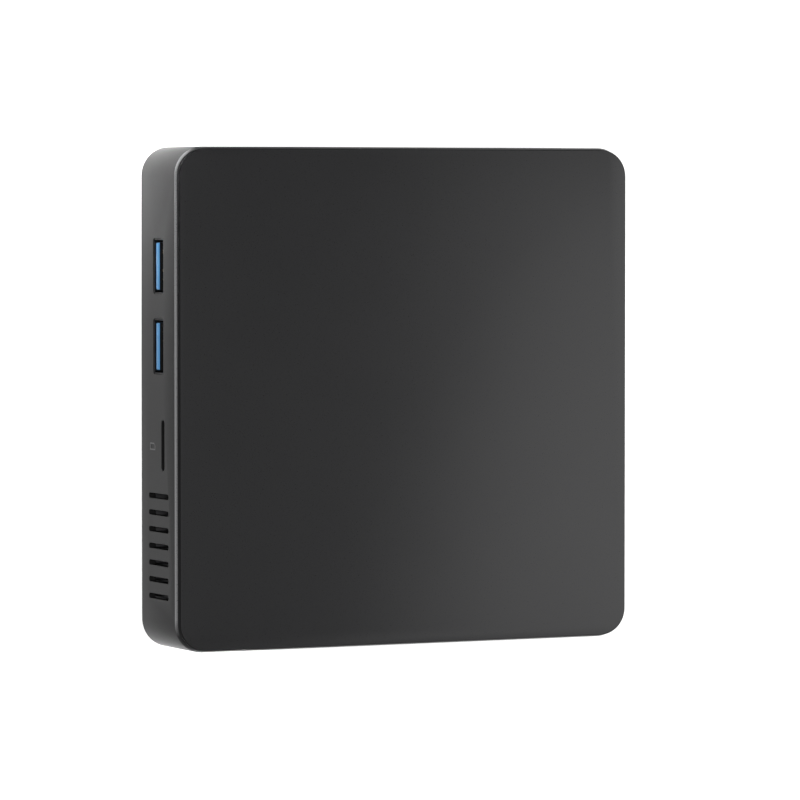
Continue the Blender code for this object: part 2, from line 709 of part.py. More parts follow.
def make_power_button(group):
    """The button's cap with the flange that keeps it in, and the switch and plunger behind it."""
    y = -INNER + FLANGE_GAP
    front = -(HALF - BUTTON_RECESS) - y
    at = (BUTTON_AT, y, FRONT_Z)
    flange = bar(disc(FLANGE_RADIUS), *FLANGE_SPAN, "Y")
    cap = bar(disc(BUTTON_RADIUS), front, BITE, "Y")
    stem = bar(disc(STEM_RADIUS, 16), BITE, STEM_END, "Y")
    piece("power_button", group, "case_metal", flange, [cap, stem], at=at)
    piece("switch_plunger", group, "socket_black", bar(disc(PLUNGER_RADIUS, 16), *PLUNGER_SPAN, "Y"), at=at)
    start, end = (y + reach for reach in SWITCH_SPAN)
    radius, depth = SWITCH_BORE
    x0, x1 = BUTTON_AT - SWITCH_WIDTH / 2, BUTTON_AT + SWITCH_WIDTH / 2
    body = block(x0, x1, start, end, SWITCH_LOW, UNDER_BOARD)
    bore = bar(disc(radius, 16), start - PAST, start + depth, "Y", (BUTTON_AT, FRONT_Z))
    piece("power_switch", group, "steel", body, cut=[bore])


def make_light_pipe(group):
    width, front, back, top = LIGHT_RISER
    pipe = bar(disc(LIGHT_RADIUS, 16), -(HALF - LIGHT_RECESS), LIGHT_BACK, "Y", (LIGHT_AT, FRONT_Z))
    riser = block(LIGHT_AT - width / 2, LIGHT_AT + width / 2, front, back, FRONT_Z - width / 2, top)
    piece("light_pipe", group, "light_pipe", pipe, [riser])


# Mainboard and what it carries


def make_mainboard(group):
    plate = bar(rounded(BOARD_WIDTH, BOARD_DEPTH, BOARD_CORNER, 3), BOARD_LOW, BOARD_HIGH)
    low, high = BOARD_LOW - PAST, BOARD_HIGH + PAST
    holes = [bar(disc(BOARD_HOLE, 12), low, high, "Z", at) for at in BOARD_SCREWS_AT + COOLER_SCREWS_AT]
    width, depth = BOARD_NOTCH
    back = -BOARD_DEPTH / 2 + depth
    notch = block(BUTTON_AT - width / 2, BUTTON_AT + width / 2, -HALF, back, low, high)
    piece("mainboard", group, "board_green", plate, cut=[*holes, notch])
    for k, (x, y) in enumerate(BOARD_SCREWS_AT, 1):
        screw(f"board_screw_{k}", group, (x, y, UNDER_BOARD), BOARD_SCREW)


def make_storage(group):
    """The solid state drive, lying under the board between its socket and its standoff."""
    end, tip, width, low, high = DRIVE
    y = DRIVE_Y
    card = block(end, tip, y - width / 2, y + width / 2, low, high)
    chip_width, chip_height = DRIVE_CHIP
    sides = (y - chip_width / 2, y + chip_width / 2)
    chips = [block(*ends, *sides, low - chip_height, low + BITE) for ends in DRIVE_CHIPS]
    notch = bar(disc(DRIVE_NOTCH, 16), low - PAST, high + PAST, "Z", (end, y))
    piece("ssd_module", group, "board_green", card, chips, [notch])
    x0, x1, socket_width, socket_low = DRIVE_SOCKET
    body = block(x0, x1, y - socket_width / 2, y + socket_width / 2, socket_low, UNDER_BOARD)
    side = width / 2 + SEAM
    slot = block(x0 - PAST, DRIVE_SLOT, y - side, y + side, low - SEAM, high + SEAM)
    piece("ssd_socket", group, "socket_black", body, cut=[slot])
    radius, bore_radius, bore_end = STANDOFF
    post = bar(disc(radius, 6), high + SEAM, UNDER_BOARD, "Z", (end, y))
    bore = bar(disc(bore_radius, 12), high, bore_end, "Z", (end, y))
    piece("ssd_standoff", group, "cell_steel", post, cut=[bore])
    screw("ssd_screw", group, (end, y, low - SEAM), DRIVE_SCREW)


def make_clock_cell(group):
    x, y = CELL_AT
    radius, well_radius, low, roof = HOLDER
    cup = bar(disc(radius, 32), low, UNDER_BOARD, "Z", CELL_AT)
    well = bar(disc(well_radius, 32), low - PAST, roof, "Z", CELL_AT)
    half, start, end, top = HOLDER_WINDOW
    window = block(x - half, x + half, y + start, y + end, low - PAST, top)
    piece("cell_holder", group, "socket_black", cup, cut=[well, window])
    radius, low, high = CELL
    piece("coin_cell", group, "cell_steel", bar(disc(radius, 32), low, high, "Z", CELL_AT))


def make_radio(group):
    """The wireless module on the board, its aerial under the lid, and the lead between them."""
    *area, thick = RADIO_CARD
    card = block(*area, OVER_BOARD, OVER_BOARD + thick)
    *can_area, top = RADIO_CAN
    can = block(*can_area, OVER_BOARD + thick - BITE, OVER_BOARD + top)
    piece("wifi_module", group, "board_green", card, [can])
    high = Z_LID - SEAM
    aerial = bar(rounded(*AERIAL, 3), high - AERIAL_THICK, high, "Z", AERIAL_AT)
    piece("antenna", group, "antenna_film", aerial)
    lead("antenna_lead", group, AERIAL_LEAD, AERIAL_LEAD_WIDTH, 44)


def make_memory(group):
    length, y0, y1, height = MEMORY
    for k, x in enumerate(MEMORY_AT, 1):
        chip = block(x, x + length, y0, y1, OVER_BOARD, OVER_BOARD + height)
        piece(f"memory_chip_{k}", group, "chip_black", chip)


# Cooler


def make_cooler(group):
    """The processor, the plate that covers it, and the plate's screws."""
    *area, low = CHIP
    *die_area, die_low = DIE
    die = block(*die_area, die_low, low + BITE)
    piece("processor", group, "chip_black", block(*area, low, UNDER_BOARD), [die])
    plate = bar(rounded(*COLD_PLATE, 3), *COLD_PLATE_SPAN, "Z", COLD_PLATE_AT)
    bottom, top = COLD_PLATE_SPAN
    holes = [bar(disc(BOARD_HOLE, 12), bottom - PAST, top + PAST, "Z", at) for at in COOLER_SCREWS_AT]
    piece("cold_plate", group, "copper", plate, cut=holes)
    for k, (x, y) in enumerate(COOLER_SCREWS_AT, 1):
        screw(f"cooler_screw_{k}", group, (x, y, bottom - SEAM), COOLER_SCREW)


def make_heat_pipe(group):
    """A flattened pipe that runs along X under the plate, and turns to run along Y through the fins."""
    bend = arc((PIPE_X - PIPE_BEND, PIPE_Y + PIPE_BEND), PIPE_BEND, -90, 0, 8)
    end = FINS[3] - PIPE_STOP
    start = [(PIPE_START, PIPE_Y), (PIPE_START + PIPE_TAPER, PIPE_Y)]
    line = [*start, *bend, (PIPE_X, end - PIPE_TAPER), (PIPE_X, end)]
    section = rounded(PIPE_WIDTH, PIPE_THICK, PIPE_THICK / 2 - 0.001, 4)
    last = len(line) - 1
    loops = []
    for k, (x, y) in enumerate(line):
        before, after = line[max(k - 1, 0)], line[min(k + 1, last)]
        angle = math.atan2(after[1] - before[1], after[0] - before[0])
        scale = PIPE_END if k in (0, last) else 1.0
        across = (-math.sin(angle) * scale, math.cos(angle) * scale)
        loops.append([(x + u * across[0], y + u * across[1], PIPE_Z + v * scale) for u, v in section])
    piece("heat_pipe", group, "copper", loft(loops))


def make_fin_stack(group):
    x0, x1, y0, y1, z0, z1 = FINS
    pitch = (y1 - y0 - FIN_SHEET) / FIN_GAPS
    gaps = []
    for k in range(FIN_GAPS):
        y = y0 + FIN_SHEET + k * pitch
        gaps.append(block(x0 - PAST, x1 + PAST, y, y + pitch - FIN_SHEET, z0 + FIN_SHEET, z1 - FIN_SHEET))
    section = rectangle(PIPE_WIDTH + 2 * SEAM, PIPE_THICK + 2 * SEAM)
    tunnel = bar(section, y0 - PAST, y1 + PAST, "Y", (PIPE_X, PIPE_Z))
    piece("fin_stack", group, "fin_aluminium", block(*FINS), cut=[tunnel, *gaps])


# Blower


def fan_outline(inset):
    """The blower's scroll round its axis, open to the right as far as the fins."""
    radius = FAN_RADIUS - inset
    reach = FAN_OUTLET - FAN_AT[0]
    low = -radius * FAN_THROAT
    start = math.degrees(math.asin(low / radius))
    scroll = arc((0, 0), radius, 90, 360 + start, 20)
    return [(reach, radius), *scroll, (reach, low)]


def make_blower(group):
    """The blower's housing with the rotor's post, its cover with the intake, and its lead and plug."""
    roof = FAN_HIGH - FAN_ROOF
    low = FAN_LOW + FAN_COVER + SEAM
    body = bar(fan_outline(0), low, FAN_HIGH, "Z", FAN_AT)
    hollow = bar(fan_outline(FAN_WALL), FAN_LOW, roof, "Z", FAN_AT)
    start, end = (FAN_AT[1] + reach for reach in OUTLET_SPAN)
    outlet = block(FAN_OUTLET - OUTLET_DEPTH, FAN_OUTLET + PAST, start, end, FAN_LOW, roof)
    housing = piece("fan_housing", group, "socket_black", body, cut=[hollow, outlet])
    radius, post_low = POST
    combine(housing, bar(disc(radius, 20), post_low, roof + BITE, "Z", FAN_AT), "UNION")
    cover = bar(fan_outline(0), FAN_LOW, FAN_LOW + FAN_COVER, "Z", FAN_AT)
    intake = bar(disc(INTAKE_RADIUS, 28), FAN_LOW - PAST, FAN_LOW + FAN_COVER + PAST, "Z", FAN_AT)
    piece("fan_cover", group, "steel", cover, cut=[intake])
    lead("fan_lead", group, FAN_LEAD, FAN_LEAD_WIDTH, 14)
    *area, plug_low = FAN_PLUG
    piece("fan_plug", group, "light_pipe", block(*area, plug_low, UNDER_BOARD))


def blade(turn):
    """One swept blade's outline, from the hub out and back, and the hub up to the next blade."""
    leading, trailing = [], []
    for n in range(BLADE_STEPS + 1):
        reach = n / BLADE_STEPS
        radius = HUB_RADIUS + (BLADE_REACH - HUB_RADIUS) * reach
        middle = turn + BLADE_SWEEP * reach**1.3
        half = math.degrees(BLADE_HALF / radius)
        leading.append(polar(radius, middle - half))
        trailing.append(polar(radius, middle + half))
    return leading + trailing[::-1] + [polar(HUB_RADIUS, turn + 180 / BLADES)]


def make_rotor(group):
    """The hub with its swept blades and back plate, which spin on the housing's post."""
    low, high = -ROTOR_HALF, ROTOR_HALF
    outline = [point for k in range(BLADES) for point in blade(360 / BLADES * k)]
    radius, thick = ROTOR_PLATE
    plate = bar(disc(radius, 38), high - thick, high)
    bore = bar(disc(ROTOR_BORE, 20), low + ROTOR_CAP, high + PAST)
    z = (FAN_LOW + FAN_COVER + FAN_HIGH - FAN_ROOF) / 2
    piece("fan_rotor", group, "chip_black", bar(outline, low, high - BITE), [plate], [bore], (*FAN_AT, z))


def main():
    clear_scene()
    for name in MATERIALS:
        make_material(name)
    casing = make_group("casing")
    make_side_frame(casing)
    make_top_cover(casing)
    make_bottom_cover(casing)
    make_feet(casing)
    make_cover_screws(casing)
    sockets = make_group("sockets")
    for k, y in enumerate(USB3_AT, 1):
        usb_socket(f"usb3_{k}", sockets, 1, y, "socket_blue")
    for k, y in enumerate(USB2_AT, 1):
        usb_socket(f"usb2_{k}", sockets, -1, y, "socket_black")
    make_card_socket(sockets)
    make_audio_jack(sockets)
    make_power_inlet(sockets)
    for k, x in enumerate(HDMI_AT, 1):
        hdmi_socket(f"hdmi_{k}", sockets, x)
    make_lan_socket(sockets)
    controls = make_group("controls")
    make_power_button(controls)
    make_light_pipe(controls)
    electronics = make_group("electronics")
    make_mainboard(electronics)
    make_storage(electronics)
    make_clock_cell(electronics)
    make_radio(electronics)
    make_memory(electronics)
    cooling = make_group("cooling")
    make_cooler(cooling)
    make_heat_pipe(cooling)
    make_fin_stack(cooling)
    make_blower(cooling)
    make_rotor(cooling)


main()
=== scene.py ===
import json
import math

import bmesh
import bpy
from mathutils import Matrix, Vector


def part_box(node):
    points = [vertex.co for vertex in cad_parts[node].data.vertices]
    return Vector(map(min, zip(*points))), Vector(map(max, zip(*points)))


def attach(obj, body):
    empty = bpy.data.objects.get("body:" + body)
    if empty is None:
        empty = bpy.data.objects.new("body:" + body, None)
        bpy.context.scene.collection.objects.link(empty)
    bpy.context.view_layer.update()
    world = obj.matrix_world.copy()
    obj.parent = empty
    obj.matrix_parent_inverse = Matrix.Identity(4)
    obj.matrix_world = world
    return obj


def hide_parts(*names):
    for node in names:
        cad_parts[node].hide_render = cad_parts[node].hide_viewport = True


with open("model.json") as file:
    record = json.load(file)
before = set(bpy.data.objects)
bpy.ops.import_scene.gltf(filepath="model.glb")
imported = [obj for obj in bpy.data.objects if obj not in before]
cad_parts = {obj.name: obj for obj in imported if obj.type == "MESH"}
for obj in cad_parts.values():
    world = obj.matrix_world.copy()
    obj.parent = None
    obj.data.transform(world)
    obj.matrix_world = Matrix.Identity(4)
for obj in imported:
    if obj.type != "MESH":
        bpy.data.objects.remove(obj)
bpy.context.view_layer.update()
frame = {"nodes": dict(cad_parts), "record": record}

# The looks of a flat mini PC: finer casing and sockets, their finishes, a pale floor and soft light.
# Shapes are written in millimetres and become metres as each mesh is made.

MM = 0.001
CASE = "case"
SEAM = 0.3  # the gap between neighbouring pieces
EDGE = 0.15  # the softening of a turned or cut edge
PAST = 1.0  # how far a cut reaches past what it cuts
ROUND = (0.5, 1.0, 1.57)  # turns in radians along a small fillet

# The casing, around the sizes that the CAD gives
LOW, HIGH = [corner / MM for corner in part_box("side_frame")]
HALF = HIGH.x
Z_BASE, Z_RIM = LOW.z, HIGH.z
Z_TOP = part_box("top_cover")[1].z / MM
CORNER = 7.0
WALL = 1.6
INNER = HALF - WALL
LID_INSET = 0.5
LID_EDGE = 0.12
LIP_WIDTH = 1.0
LIP_DEPTH = 1.2
LIP_OVERLAP = 0.3  # how far the lip reaches up into the lid
BASE_PLATE = 1.5
BASE_RIM = 1.0
BASE_FILLET = 0.4
RIM_LOWERED = 0.15
CHAMFER = 0.5
RIM_DROP = 0.65
RIM_SOFT = 0.05
RIM_BAND = 0.95  # the rim's painted highlight and shade stay this near the frame's top
RIM_SLOPES = (0.3, 0.95)  # how far a chamfer's normal can point up
PAINTED_SHADE_DEPTH = 0.2  # an opening's inside is painted black, as shade, from this far in

# The openings
FRONT_Z = Z_TOP - 11.88
VENTS = 7
VENT_FIRST = 23.16
VENT_PITCH = 4.0
VENT_SIZE = (11.8, 1.25)
VENT_EDGE = 0.08
USB_MOUTH = (13.2, 6.0, 0.8)
USB_MOUTH_EDGE = 0.1
CARD_SLOT = (12.0, 1.8)
CARD_Z = Z_TOP - 9.28
MARK_AT = (11.4, Z_TOP - 15.5)
MARK_SIZE = (0.85, 1.6)  # half its width and half its height
MARK_CUT, MARK_CUT_X = 0.7, -0.15
MARK_STROKE = 0.28
MARK_GAP = 0.02
MARK_DEPTHS = (0.5, 0.2, 0.12, 0.01)  # its back, its hollow, its recess and its face
AUDIO_Z = 11.6
AUDIO_MOUTH = 3.3
LOCK_Y = 13.5
LOCK_SLOT = (7.0, 3.0, 0.6)
LOCK_EDGE = 0.2
INLET_MOUTH = 4.3
VIDEO_MOUTH = (15.4, 6.0, 1.9)
LAN_PLAY = 0.4
LAN_CORNER = 0.15
BUTTON_MOUTH = 3.6
LIGHT_MOUTH = 1.2

# The feet
FOOT_FILLET = 0.45
FOOT_HOLLOW = ((1.6, 0.25), (1.3, 0.0))  # inset and height of the points of its rim

# The USB sockets
USB_SHEET = 0.3
USB_CORNER, USB_HOLLOW_CORNER = 0.7, 0.4
USB_LIP = 0.12
USB_FLARE = 0.18
USB_SPRINGS = (-3.2, 3.2)
USB_SPRING_HALF = 1.1
USB_SPRING_REACH = (2.2, 8.2)  # in from the mouth
USB_SPRING_DROPS = (0.42, 0.12)  # below the shell's ceiling
TONGUE = (11.2, 1.7)
TONGUE_DROP = 1.08  # how far the tongue's middle lies below the shell's
TONGUE_BEVEL = 0.25
TONGUE_BACK = 2.8
TONGUE_ROOT = (12.0, 4.6, 0.3)
TONGUE_ROOT_DEPTH = 3.0
USB_CONTACTS = 4
USB_CONTACT_PITCH = 2.3
CHANNEL_HALF, CHANNEL_DEPTH = 0.62, 0.25
CHANNEL_REACH = (0.9, 9.5)  # in from the tongue's tip
CONTACT_HALF, CONTACT_DEPTHS = 0.48, (0.2, 0.04)
CONTACT_REACH = (1.2, 9.2)

# The video sockets
VIDEO_SHEET = 0.4
VIDEO_CUT = 1.8
VIDEO_TONGUE = (10.9, 1.5)
VIDEO_TONGUE_BACK = 3
VIDEO_ROOT = (10.4, 4.2)
VIDEO_ROOT_REACH = (0.4, 3.4)
VIDEO_BEVEL = 0.2
VIDEO_CONTACTS = (("upper", 10, 0.73), ("lower", 9, -0.83))  # row, how many, its height
VIDEO_CONTACT_HALF = 0.16
VIDEO_CONTACT_THICK = 0.1

# The network socket
LAN_BACK = 45.0
LAN_FACE_HALF, LAN_LINER_HALF = 7.0, 6.9
LAN_FACE_RIM, LAN_LINER_RIM = 0.5, 0.6
LAN_MOUTH_LOW, LAN_MOUTH_HIGH = 1.8, 8.8  # above the socket's underside
LAN_MOUTH_HALF = 5.95
LAN_LATCH_HALF, LAN_LATCH_LOW, LAN_LATCH_RISE = 3.1, 0.75, 0.6
LAN_LAMP_X = 4.6
LAN_LAMP_HALF = 1.3
LAN_LAMP_DROPS = (2.45, 1.15)  # below the socket's top
LAN_LAMP_REACH = (0.9, 0.2)
LAN_LAMP_PLAY = 0.05
LAN_CONTACTS = 8
LAN_CONTACT_PITCH = 1.02
LAN_WIRE, LAN_WIRE_THICK = 0.34, 0.3

# The audio jack and the power inlet
AUDIO_NOSE, AUDIO_BORE, AUDIO_HOLE = 2.9, 2.2, 1.8
INLET_NOSE, INLET_BORE = 4.0, 3.1
SLEEVE_OUTER, SLEEVE_INNER = 3.05, 2.8

# The button and the light
BUTTON_FLANGE, BUTTON_FLANGE_BACK = 4.7, 1.1
BUTTON_RADIUS = 3.4
BUTTON_FILLET = 0.25
BUTTON_DISH = ((2.6, 0.02), (1.9, 0.14), (0.9, 0.2))  # radius and depth
SYMBOL_OUTER, SYMBOL_INNER = 1.25, 1.0
SYMBOL_DEPTH = (0.14, 0.5)
SYMBOL_GAP_HALF, SYMBOL_GAP = 0.35, (0.3, 2)  # half its width, and its heights above the middle
SYMBOL_BAR_HALF, SYMBOL_BAR = 0.12, (0.35, 1.45)
LIGHT_RADIUS = 0.9
LIGHT_BACK = -54.6
LIGHT_DOME = 0.3
LIGHT_ROUND = (0.5, 1.0, 1.4)

# Finishes: name, colour, the patches' colour, roughness from and to, metallic, how fine the grain is, how
# high it is in millimetres, and how fine the patches are
FINISHES = {
    "wall": (
        "wall_satin", (0.015, 0.015, 0.0152), (0.013, 0.013, 0.0132), (0.32, 0.38), 0.0, 4200, 0.003, 90,
    ),
    "lid": ("lid_satin", (0.009, 0.009, 0.0096), (0.008, 0.008, 0.0086), (0.27, 0.33), 0.0, 5200, 0.002, 45),
    # Painted shade: a darker, duller copy of the lid's colour for its sides and edge fillet, in place of the
    # shade along the lid's edge
    "lid_side_painted_shade": (
        "lid_side_painted_shade", (0.006, 0.006, 0.0063), (0.005, 0.005, 0.0053), (0.6, 0.7), 0.0, 3800, 0.004, 60,
    ),
    "base": ("base_texture", (0.02, 0.02, 0.021), (0.014, 0.014, 0.015), (0.5, 0.62), 0.0, 1800, 0.02, 200),
    "rubber": (
        "foot_rubber", (0.016, 0.016, 0.016), (0.025, 0.025, 0.026), (0.75, 0.9), 0.0, 1500, 0.02, 300,
    ),
    "steel": ("bright_steel", (0.55, 0.55, 0.56), (0.42, 0.42, 0.43), (0.25, 0.38), 1.0, 2600, 0.004, 200),
    "nickel": (
        "dark_nickel", (0.022, 0.022, 0.023), (0.015, 0.015, 0.016), (0.3, 0.42), 1.0, 2600, 0.004, 200,
    ),
    # Painted shade: the insides of openings and the sockets' tongue tops take this near-black, dull finish in
    # place of the shade that falls in there
    "bore": (
        "opening_painted_shade", (0.006, 0.006, 0.006), (0.004, 0.004, 0.004), (0.7, 0.8), 0.0, 3000, 0.004, 300,
    ),
    "blue": ("socket_blue", (0.025, 0.15, 0.32), (0.021, 0.125, 0.27), (0.38, 0.5), 0.0, 2200, 0.006, 400),
    "black": ("socket_black", (0.012, 0.012, 0.013), (0.02, 0.02, 0.021), (0.4, 0.52), 0.0, 2200, 0.006, 300),
    "gold": ("contact_gold", (0.83, 0.57, 0.22), (0.7, 0.46, 0.17), (0.2, 0.32), 1.0, 2600, 0.003, 500),
    "light": ("light_pipe", (0.78, 0.82, 0.85), (0.7, 0.74, 0.77), (0.15, 0.25), 0.0, 1500, 0.004, 300),
    "print": ("pale_print", (0.42, 0.42, 0.43), (0.3, 0.3, 0.31), (0.5, 0.6), 0.0, 4000, 0.004, 900),
    "mark": ("card_mark", (0.07, 0.07, 0.072), (0.05, 0.05, 0.052), (0.5, 0.6), 0.0, 4000, 0.004, 900),
    "board": ("board_green", (0.008, 0.075, 0.035), (0.012, 0.1, 0.045), (0.35, 0.5), 0.0, 1800, 0.02, 500),
    "chip": ("chip_black", (0.02, 0.02, 0.022), (0.03, 0.03, 0.032), (0.45, 0.6), 0.0, 2200, 0.01, 400),
    "copper": ("copper", (0.72, 0.32, 0.17), (0.5, 0.2, 0.1), (0.22, 0.4), 1.0, 1800, 0.006, 150),
    # Painted shade: the fins are near-black metal rather than bare aluminium, so the vents look dark inside
    "fins": ("fin_aluminium", (0.05, 0.05, 0.052), (0.035, 0.035, 0.037), (0.4, 0.55), 1.0, 2200, 0.006, 300),
    "film": ("antenna_film", (0.42, 0.17, 0.03), (0.33, 0.12, 0.02), (0.35, 0.5), 0.0, 1500, 0.006, 200),
}
SPECULAR = {"wall": 0.074, "lid_side_painted_shade": 0.02, "bore": 0.02}
# Painted highlight and shade: the rim chamfer is light on the wall with the blue sockets and dark elsewhere,
# in place of how light falls on it
RIM_PAINTED_HIGHLIGHT = (0.185, 0.185, 0.188)
RIM_PAINTED_SHADE = (0.02, 0.02, 0.0205)
RIM_ROUGH = (0.26, 0.32)
RIM_GRAIN, RIM_GRAIN_HEIGHT = 4200, 0.002
RIM_HIGHLIGHT_FADE_X = (0.0545, 0.057)  # in metres
RIM_HIGHLIGHT_FADE_Y = (0.052, 0.056)
GRAIN_STRENGTH, PATCH_STRENGTH = 0.5, 0.2
SPREAD = (0.3, 0.7)  # where most of a noise lies

SLOT_FINISHES = {
    "case_metal": "wall",
    "lid_plastic": "lid",
    "base_plastic": "base",
    "foot_rubber": "rubber",
    "steel": "steel",
    "dark_nickel": "nickel",
    "socket_blue": "blue",
    "socket_black": "black",
    "light_pipe": "light",
    "board_green": "board",
    "chip_black": "chip",
    "copper": "copper",
    "fin_aluminium": "fins",
    "cell_steel": "steel",
    "antenna_film": "film",
    "lead_black": "black",
}

# The floor, in millimetres
FLOOR_HALF = 6000
FLOOR_THICK = 20
FLOOR_COLOURS = ((0.9, 0.9, 0.9), (0.88, 0.88, 0.88))
FLOOR_ROUGH = (0.8, 0.9)
FLOOR_SPECULAR = 0.1
FLOOR_PATCHES = 3

# The lights and the camera, in metres
WORLD_SEEN, WORLD_LIT = 1.0, 0.12
KEY_FROM = (0.38, -0.06, 0.92)
KEY_ANGLE = 9
KEY_STRENGTH = 3.6
# Name: its place, what it faces, its size, its radiance and its spread in degrees
SOFT_BOXES = {
    "lid_glow": ((-0.36, 0.03, 0.3), (-0.04, 0.0, 0.02), (0.34, 0.42), 1.55, 180),
    "rim_glow": ((0.46, -0.14, 0.22), (0.06, 0.0, 0.02), (0.9, 0.24), 1.2, 180),
    "wall_glow": ((0.17, -0.165, 0.12), (0.106, -0.1, 0.0), (0.04, 0.04), 41, 36),
    "corner_glow": ((0.05, 0.14, 0.08), (0.046, 0.092, 0.0), (0.02, 0.02), 27, 26),
    "back_fill": ((-0.9, 0.9, 0.5), (0, 0, 0), (1.4, 0.8), 1.5, 180),
}
SENSOR = 36  # this and the lens are in millimetres
LENS = 229.2
FAR_CLIP = 20
CAMERA_AT = (0.53216, -0.04793, 1.10479 + Z_TOP * MM)
CAMERA_TURNS = ((math.pi, "Z"), (-0.44746, "Y"), (-0.03974, "X"))


def box_of(node):
    """The lower and upper corners of a CAD node's box."""
    return [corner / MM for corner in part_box(node)]


def middle(node):
    low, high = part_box(node)
    return (low + high) / 2 / MM


def extent(node):
    low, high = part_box(node)
    return (high - low) / MM


# Outlines: lists of (u, v) points round a middle at (0, 0)


def arc(centre, radius, start, end, steps):
    turns = [math.radians(start + (end - start) * k / steps) for k in range(steps + 1)]
    return [(centre[0] + radius * math.cos(t), centre[1] + radius * math.sin(t)) for t in turns]


def disc(radius, steps=48):
    return arc((0, 0), radius, 0, 360 - 360 / steps, steps - 1)


def rounded(width, height, radius, steps=8):
    u, v = width / 2 - radius, height / 2 - radius
    corners = ((u, v), (-u, v), (-u, -v), (u, -v))
    return [p for k, c in enumerate(corners) for p in arc(c, radius, 90 * k, 90 * k + 90, steps)]


def rectangle(width, height):
    u, v = width / 2, height / 2
    return [(u, v), (-u, v), (-u, -v), (u, -v)]


def video_socket(width, height, cut):
    u, v = width / 2, height / 2
    return [(u - cut, v), (-u + cut, v), (-u, v - cut), (-u, -v), (u, -v), (u, v - cut)]


def card_outline(grow):
    """The outline of a small memory card, with its cut corner."""
    w, h = MARK_SIZE[0] + grow, MARK_SIZE[1] + grow
    return [(-w, -h), (w, -h), (w, h), (MARK_CUT_X, h), (-w, h - MARK_CUT - grow)]


def casing_loop(inset, z, steps=16):
    side = 2 * (HALF - inset)
    return [(x, y, z) for x, y in rounded(side, side, CORNER - inset, steps)]


def quarter(radius, steps=6):
    """(inset, rise) pairs of a fillet from an underside up to a wall."""
    turns = [math.pi / 2 * k / steps for k in range(steps + 1)]
    return [(radius * (1 - math.sin(t)), radius * (1 - math.cos(t))) for t in turns]


# Outlines that grow: each gives a function of the growth


def slot_of(length, width, radius=None, along_u=True):
    """A slot with rounded corners, or with round ends if no radius is given."""
    size = (length, width) if along_u else (width, length)
    corner = width / 2 - 0.001 if radius is None else radius
    return lambda grow: rounded(size[0] + 2 * grow, size[1] + 2 * grow, corner + grow)


def disc_of(radius):
    return lambda grow: disc(radius + grow)


def video_of(width, height, cut):
    return lambda grow: video_socket(width + 2 * grow, height + 2 * grow, cut + grow * 0.6)


# Shells: (points, faces) of closed surfaces


def loft(loops, ring=False):
    """A skin over loops of equally many points: capped at both ends, or closed into a ring."""
    count = len(loops[0])
    points = [point for loop in loops for point in loop]
    faces = []
    for i in range(len(loops) if ring else len(loops) - 1):
        low, high = i * count, (i + 1) % len(loops) * count
        for k in range(count):
            following = (k + 1) % count
            faces.append((low + k, low + following, high + following, high + k))
    if not ring:
        faces.append(tuple(range(count)))
        faces.append(tuple(range(len(points) - count, len(points))))
    return points, faces


PLACES = {"X": lambda u, v, w: (w, u, v), "Y": lambda u, v, w: (u, w, v), "Z": lambda u, v, w: (u, v, w)}


def stack(levels, axis, at=(0.0, 0.0)):
    """A skin over (outline, position along the axis) levels."""
    place = PLACES[axis]
    return loft([[place(u + at[0], v + at[1], w) for u, v in outline] for outline, w in levels])


def prism(outline, start, end, axis, at=(0.0, 0.0)):
    return stack([(outline, start), (outline, end)], axis, at)


def block(x0, x1, y0, y1, z0, z1, edge=0.0):
    """A box, whose upper and lower rims can be chamfered."""
    at = ((x0 + x1) / 2, (y0 + y1) / 2)
    full, small = rectangle(x1 - x0, y1 - y0), rectangle(x1 - x0 - 2 * edge, y1 - y0 - 2 * edge)
    if not edge:
        return prism(full, z0, z1, "Z", at)
    return stack([(small, z0), (full, z0 + edge), (full, z1 - edge), (small, z1)], "Z", at)


def mouth(outline_of, axis, side, at, edge=EDGE):
    """A cut through a wall, whose outer rim is chamfered."""
    outer = side * HALF
    levels = [
        (outline_of(0), side * (INNER - PAST)),
        (outline_of(0), outer - side * edge),
        (outline_of(2 * edge), outer + side * edge),
    ]
    return stack(levels, axis, at)


def nose(radius, back, front, side, axis, at):
    """A turned nose with a softened rim."""
    levels = [(disc(radius), back), (disc(radius), front - side * EDGE), (disc(radius - EDGE), front)]
    return stack(levels, axis, at)


# Pieces


def make_object(name, shell):
    points, faces = shell
    mesh = bpy.data.meshes.new(name)
    mesh.from_pydata([tuple(c * MM for c in p) for p in points], [], faces)
    shape = bmesh.new()
    shape.from_mesh(mesh)
    bmesh.ops.recalc_face_normals(shape, faces=shape.faces)
    shape.to_mesh(mesh)
    shape.free()
    obj = bpy.data.objects.new(name, mesh)
    bpy.context.scene.collection.objects.link(obj)
    return obj


def combine(obj, shell, operation):
    tool = make_object("tool", shell)
    modifier = obj.modifiers.new(operation, "BOOLEAN")
    modifier.operation = operation
    modifier.object = tool
    bpy.context.view_layer.objects.active = obj
    bpy.ops.object.modifier_apply(modifier=modifier.name)
    bpy.data.meshes.remove(tool.data)


def piece(name, material, shell, joined=(), cut=(), body=CASE, replaces=(), angle=30):
    """A visible piece that rides on a body, takes the given material, and may replace CAD nodes."""
    obj = make_object(name, shell)
    for other in joined:
        combine(obj, other, "UNION")
    for other in cut:
        combine(obj, other, "DIFFERENCE")
    obj.data.shade_smooth()
    obj.data.set_sharp_from_angle(angle=math.radians(angle))
    obj.data.materials.append(material)
    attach(obj, body)
    if replaces:
        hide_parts(*replaces)
    return obj


# Finishes


